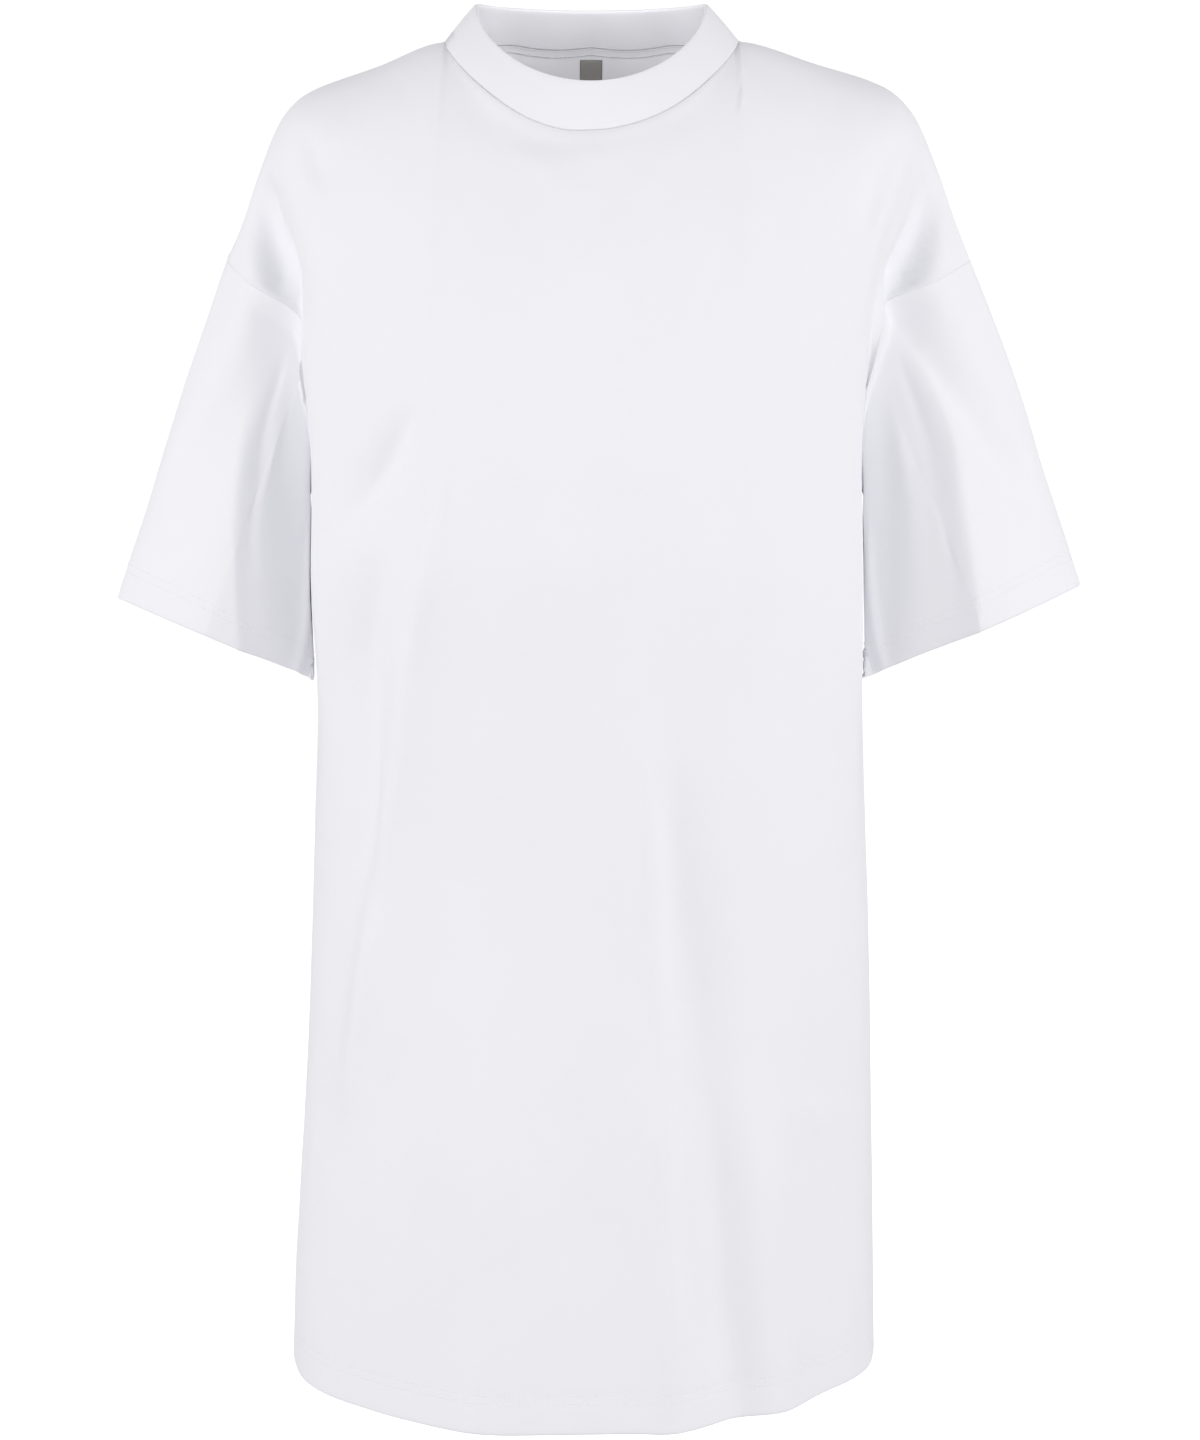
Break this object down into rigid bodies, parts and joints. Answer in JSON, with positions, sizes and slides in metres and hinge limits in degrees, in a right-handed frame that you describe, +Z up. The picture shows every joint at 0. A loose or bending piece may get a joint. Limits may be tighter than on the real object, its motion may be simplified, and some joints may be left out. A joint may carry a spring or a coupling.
{
  "type": "t-shirt dress",
  "caption": "Oversized t-shirt dress with a mock neck, dropped shoulders and elbow-length sleeves, filled out as worn, hollow and open at neck, cuffs and hem.",
  "frame": {"origin": "middle of the neck opening at the height of the side neck points, where the wearer's shoulders carry the dress", "axes": "+Z up along the body, the front faces -Y, +X to the viewer's right as seen from the front"},
  "size_m": [0.648, 0.3112, 0.9037],
  "materials": {
    "white_jersey": "matt heavy cotton jersey",
    "grey_tape": "plain woven label tape"
  },
  "bodies": {
    "root": {"front": "white_jersey", "back": "white_jersey", "sleeve_left": "white_jersey", "sleeve_right": "white_jersey", "collar": "white_jersey", "size_label": "grey_tape"}
  },
  "joints": []
}
